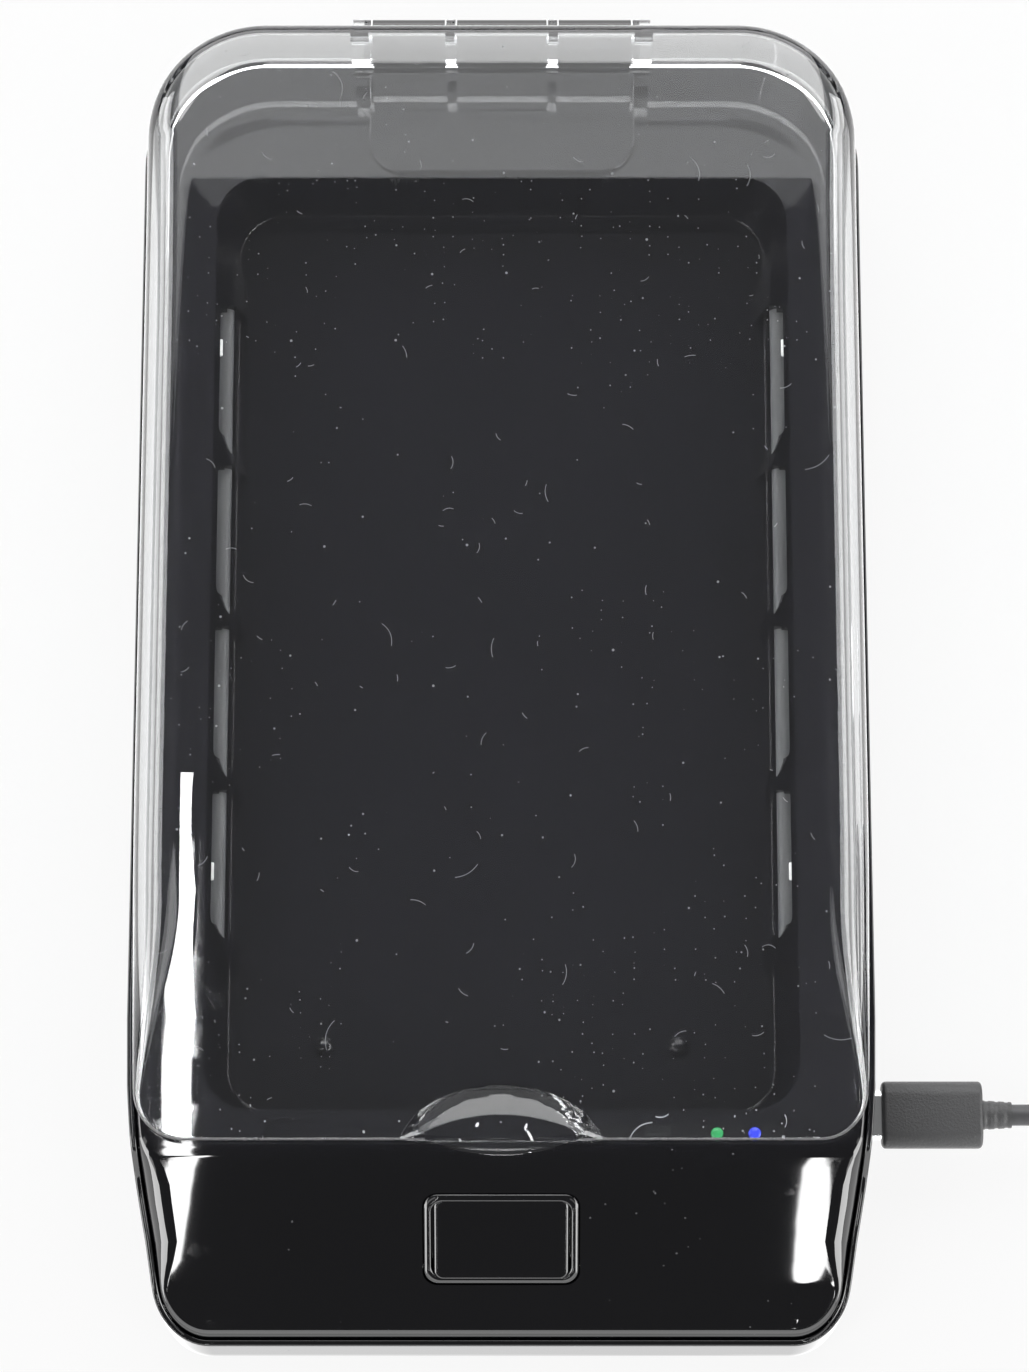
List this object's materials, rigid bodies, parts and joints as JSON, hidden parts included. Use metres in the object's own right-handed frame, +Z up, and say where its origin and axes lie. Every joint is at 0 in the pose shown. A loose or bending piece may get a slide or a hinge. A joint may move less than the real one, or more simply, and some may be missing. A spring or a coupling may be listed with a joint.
{
  "type": "uv_sanitizer_box_for_phones",
  "caption": "Gloss black ultraviolet sanitizer box for a phone, with a clear hinged lid, a lamp-lit chamber, a push button on the sloped front and a charging cable.",
  "frame": {"origin": "Middle of the box's footprint on the table, measured without the cable beyond its grip", "axes": "+X to the user's right, +Y from the front to the hinge, +Z up"},
  "size_m": [0.2257, 0.228, 0.05],
  "materials": {
    "gloss_black": "polished injection-moulded plastic",
    "mirror_black": "mirror-gloss moulded liner",
    "clear_plastic": "clear moulded plastic, see-through, gloss",
    "button_black": "polished plastic",
    "smoked_window": "dark tinted gloss plastic",
    "green_light": "lit light pipe",
    "blue_light": "lit light pipe",
    "lamp_glass": "clear quartz tube",
    "lamp_base": "moulded lamp base",
    "pale_plastic": "satin moulded plastic",
    "reflector": "satin sheet",
    "steel": "plated",
    "bright_steel": "bright plated sheet",
    "circuit_board": "solder mask over glass laminate",
    "component_plastic": "moulded component bodies",
    "chip_plastic": "pale moulded chip",
    "switch_plastic": "moulded switch body",
    "plunger_red": "moulded plunger",
    "transformer": "wound core under tape",
    "foot_rubber": "matt rubber",
    "cable_rubber": "satin soft jacket"
  },
  "bodies": {
    "box": {"lower_shell": "gloss_black", "upper_housing": "gloss_black", "chamber_tray": "mirror_black", "floor_bumps": "mirror_black", "uv_lamp_left": "lamp_glass", "uv_lamp_right": "lamp_glass", "lamp_caps": "lamp_base", "lamp_holders": "pale_plastic", "lamp_reflector_left": "reflector", "lamp_reflector_right": "reflector", "hinge_block": "gloss_black", "hinge_pin": "steel", "hinge_screws": "steel", "hinge_cover": "gloss_black", "indicator_window": "smoked_window", "status_light_green": "green_light", "status_light_blue": "blue_light", "status_chips": "chip_plastic", "button_bezel": "gloss_black", "button_board": "circuit_board", "tact_switch": "switch_plastic", "button_board_screws": "steel", "main_board": "circuit_board", "board_parts": "component_plastic", "usb_port": "bright_steel", "board_screws": "steel", "interlock_switch": "switch_plastic", "lamp_driver_board": "circuit_board", "lamp_transformer": "transformer", "case_screws": "steel", "rubber_feet": "foot_rubber", "cable_plug_shell": "bright_steel", "cable_plug_grip": "cable_rubber", "cable_strain_relief": "cable_rubber", "cord_lead": "cable_rubber", "cord_coil": "cable_rubber", "cord_tail": "cable_rubber", "far_plug_relief": "cable_rubber", "far_plug_grip": "cable_rubber", "far_plug_shell": "bright_steel"},
    "lid": {"lid": "clear_plastic"},
    "power_button": {"power_button": "button_black"},
    "lid_switch_plunger": {"interlock_plunger": "plunger_red"}
  },
  "joints": [
    {"name": "lid_hinge", "type": "hinge", "parent": "box", "child": "lid", "pos_m": [0, 0.1114, 0.034], "axis": [-1, 0, 0], "range_deg": [0, 95]},
    {"name": "power_button_press", "type": "slide", "parent": "box", "child": "power_button", "axis": [0, 0.5021, -0.8648], "range_m": [0, 0.0008], "stiffness_N_per_m": 800},
    {"name": "interlock_press", "type": "slide", "parent": "box", "child": "lid_switch_plunger", "axis": [0, 0, -1], "range_m": [0, 0.0006], "stiffness_N_per_m": 300}
  ]
}
